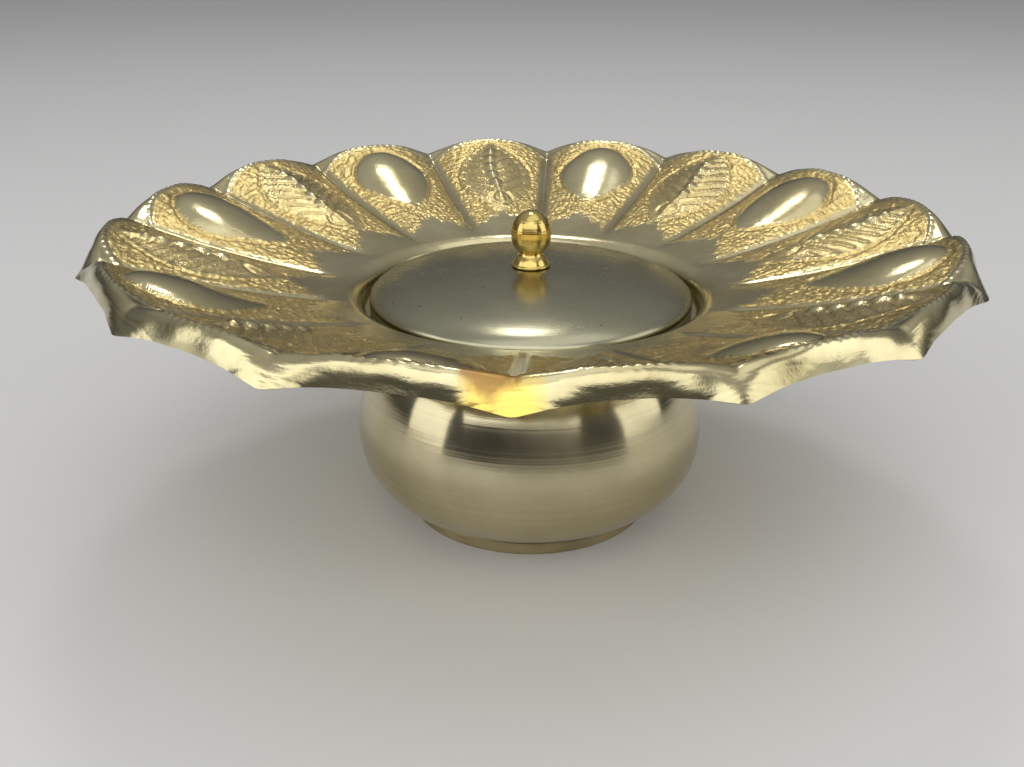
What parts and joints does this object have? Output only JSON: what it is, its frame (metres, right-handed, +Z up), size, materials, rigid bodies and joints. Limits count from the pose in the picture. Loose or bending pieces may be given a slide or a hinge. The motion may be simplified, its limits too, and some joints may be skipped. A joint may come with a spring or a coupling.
{
  "type": "diya oil lamp",
  "caption": "Covered brass oil lamp: a petal-shaped pressed dish on a spun pot-shaped bowl, with a lift-off domed lid and a wick in a tube inside.",
  "frame": {"origin": "centre of the foot ring's underside, on the table", "axes": "+Z up along the lamp's axis; one groove between petals points along -Y, which is the front"},
  "size_m": [0.1794, 0.1794, 0.0679],
  "materials": {
    "dish_brass": "chased and stippled petals with a polished plain lip",
    "bowl_brass": "spun, fine turning lines, half polished",
    "foot_brass": "turned, darkened at the solder seam",
    "lid_brass": "polished, slightly dulled",
    "knob_brass": "turned and lacquered, bright",
    "inner_brass": "unpolished rolled strip",
    "fastener_brass": "as machined",
    "wick_holder_brass": "unpolished, oil stained",
    "cotton": "twisted cotton yarn"
  },
  "bodies": {
    "lamp": {"petal_dish": "dish_brass", "bowl_shell": "bowl_brass", "foot_ring": "foot_brass", "mouth_collar": "inner_brass", "wick_base": "wick_holder_brass", "wick_tube": "wick_holder_brass"},
    "lid": {"lid_shell": "lid_brass", "lid_locating_ring": "inner_brass", "knob_finial": "knob_brass", "knob_washer": "fastener_brass", "knob_nut": "fastener_brass"},
    "wick": {"cotton_wick": "cotton"}
  },
  "joints": [
    {"name": "lid_lift", "type": "slide", "parent": "lamp", "child": "lid", "axis": [0, 0, 1], "range_m": [0, 0.04]},
    {"name": "wick_feed", "type": "slide", "parent": "lamp", "child": "wick", "axis": [0, 0, 1], "range_m": [0, 0.008]}
  ]
}
